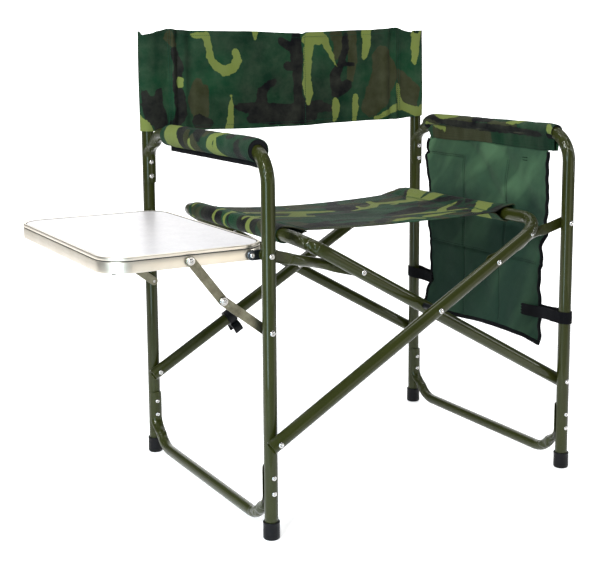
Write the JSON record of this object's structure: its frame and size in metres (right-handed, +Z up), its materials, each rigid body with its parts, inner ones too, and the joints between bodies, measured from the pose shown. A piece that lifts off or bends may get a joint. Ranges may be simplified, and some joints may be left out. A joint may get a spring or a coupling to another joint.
{
  "type": "folding director chair",
  "caption": "Folding director chair: steel tube side frames and crossed seat frames, sling seat and back, drop-leaf side table on folding struts and a hanging organizer.",
  "frame": {"origin": "middle of the whole chair's bounding box at floor level, with the side table open", "axes": "+Z up, +Y from the front of the chair to its back, +X from the side table to the organizer"},
  "size_m": [0.874, 0.5486, 0.785],
  "materials": {
    "olive_paint": "glossy olive green enamel",
    "bare_steel": "zinc plated strip",
    "rivet_steel": "bright plated rivets",
    "black_plastic": "moulded, slightly grained",
    "aluminium": "satin extrusion",
    "white_board": "smooth white laminate",
    "camo_cloth": "printed woven polyester",
    "green_cloth": "plain woven polyester",
    "black_webbing": "woven webbing"
  },
  "bodies": {
    "left_frame": {"left_leg_and_arm_tube": "olive_paint", "left_rear_post": "olive_paint", "left_floor_brace": "olive_paint", "left_front_foot": "black_plastic", "left_rear_foot": "black_plastic", "left_arm_pad": "camo_cloth", "back_sling": "camo_cloth", "left_front_hinge_pin": "rivet_steel", "left_rear_hinge_pin": "rivet_steel", "front_strut_foot_pin": "rivet_steel", "rear_strut_foot_pin": "rivet_steel"},
    "seat_frame_a": {"seat_frame_a": "olive_paint", "seat_sling": "camo_cloth", "transport_clip": "black_plastic", "front_crossing_spacer": "black_plastic", "rear_crossing_spacer": "black_plastic", "front_crossing_pin": "rivet_steel", "rear_crossing_pin": "rivet_steel", "seat_frame_a_front_pin": "rivet_steel", "seat_frame_a_rear_pin": "rivet_steel", "right_front_link_pin": "rivet_steel", "right_rear_link_pin": "rivet_steel"},
    "seat_frame_b": {"seat_frame_b": "olive_paint", "left_front_link_pin": "rivet_steel", "left_rear_link_pin": "rivet_steel"},
    "right_frame": {"right_leg_and_arm_tube": "olive_paint", "right_rear_post": "olive_paint", "right_floor_brace": "olive_paint", "right_front_foot": "black_plastic", "right_rear_foot": "black_plastic", "right_arm_pad": "camo_cloth", "organizer": "green_cloth", "organizer_front_strap": "black_webbing", "organizer_rear_strap": "black_webbing", "right_front_hinge_pin": "rivet_steel", "right_rear_hinge_pin": "rivet_steel", "seat_frame_b_front_pin": "rivet_steel", "seat_frame_b_rear_pin": "rivet_steel"},
    "left_links": {"left_front_link": "olive_paint", "left_rear_link": "olive_paint"},
    "right_links": {"right_front_link": "olive_paint", "right_rear_link": "olive_paint"},
    "side_table": {"table_rim": "aluminium", "table_board": "white_board", "table_front_bracket": "bare_steel", "table_rear_bracket": "bare_steel", "table_front_bumper": "black_plastic", "table_rear_bumper": "black_plastic", "table_front_bracket_pin": "rivet_steel", "table_rear_bracket_pin": "rivet_steel", "front_strut_head_pin": "rivet_steel", "rear_strut_head_pin": "rivet_steel"},
    "strut_upper": {"front_upper_strut": "bare_steel", "rear_upper_strut": "bare_steel"},
    "strut_lower": {"front_lower_strut": "bare_steel", "rear_lower_strut": "bare_steel", "front_strut_knee_pin": "rivet_steel", "rear_strut_knee_pin": "rivet_steel"}
  },
  "joints": [
    {"name": "fold", "type": "hinge", "parent": "left_frame", "child": "seat_frame_a", "pos_m": [-0.183, -0.0076, 0.162], "axis": [0, -1, 0], "range_deg": [0, 44], "deforming": ["seat_sling", "back_sling"]},
    {"name": "crossing", "type": "hinge", "parent": "seat_frame_a", "child": "seat_frame_b", "pos_m": [0.117, -0.0076, 0.33381], "axis": [0, -1, 0], "range_deg": [-89, 1]},
    {"name": "right_frame_swing", "type": "hinge", "parent": "seat_frame_b", "child": "right_frame", "pos_m": [0.417, -0.0076, 0.162], "axis": [0, -1, 0], "range_deg": [-1, 45]},
    {"name": "left_link_swing", "type": "hinge", "parent": "left_frame", "child": "left_links", "pos_m": [-0.183, -0.0076, 0.45], "axis": [0, -1, 0], "range_deg": [-1, 87.5]},
    {"name": "right_link_swing", "type": "hinge", "parent": "right_frame", "child": "right_links", "pos_m": [0.417, -0.0076, 0.45], "axis": [0, -1, 0], "range_deg": [-87.5, 1]},
    {"name": "table_fold", "type": "hinge", "parent": "left_frame", "child": "side_table", "pos_m": [-0.183, -0.0076, 0.45], "axis": [0, -1, 0], "range_deg": [0, 80]},
    {"name": "strut_head_swing", "type": "hinge", "parent": "side_table", "child": "strut_upper", "pos_m": [-0.305, -0.0076, 0.4515], "axis": [0, -1, 0], "range_deg": [-1, 67.8]},
    {"name": "strut_foot_swing", "type": "hinge", "parent": "left_frame", "child": "strut_lower", "pos_m": [-0.183, -0.0076, 0.331], "axis": [0, -1, 0], "range_deg": [-33.6, 1]}
  ],
  "couplings": [
    {"joint": "crossing", "follows": "fold", "ratio": -2},
    {"joint": "right_frame_swing", "follows": "fold", "ratio": 1},
    {"joint": "left_link_swing", "follows": "fold", "ratio": 1.967},
    {"joint": "right_link_swing", "follows": "fold", "ratio": -1.967},
    {"joint": "strut_head_swing", "follows": "table_fold", "ratio": 0.8355},
    {"joint": "strut_foot_swing", "follows": "table_fold", "ratio": -0.408}
  ]
}
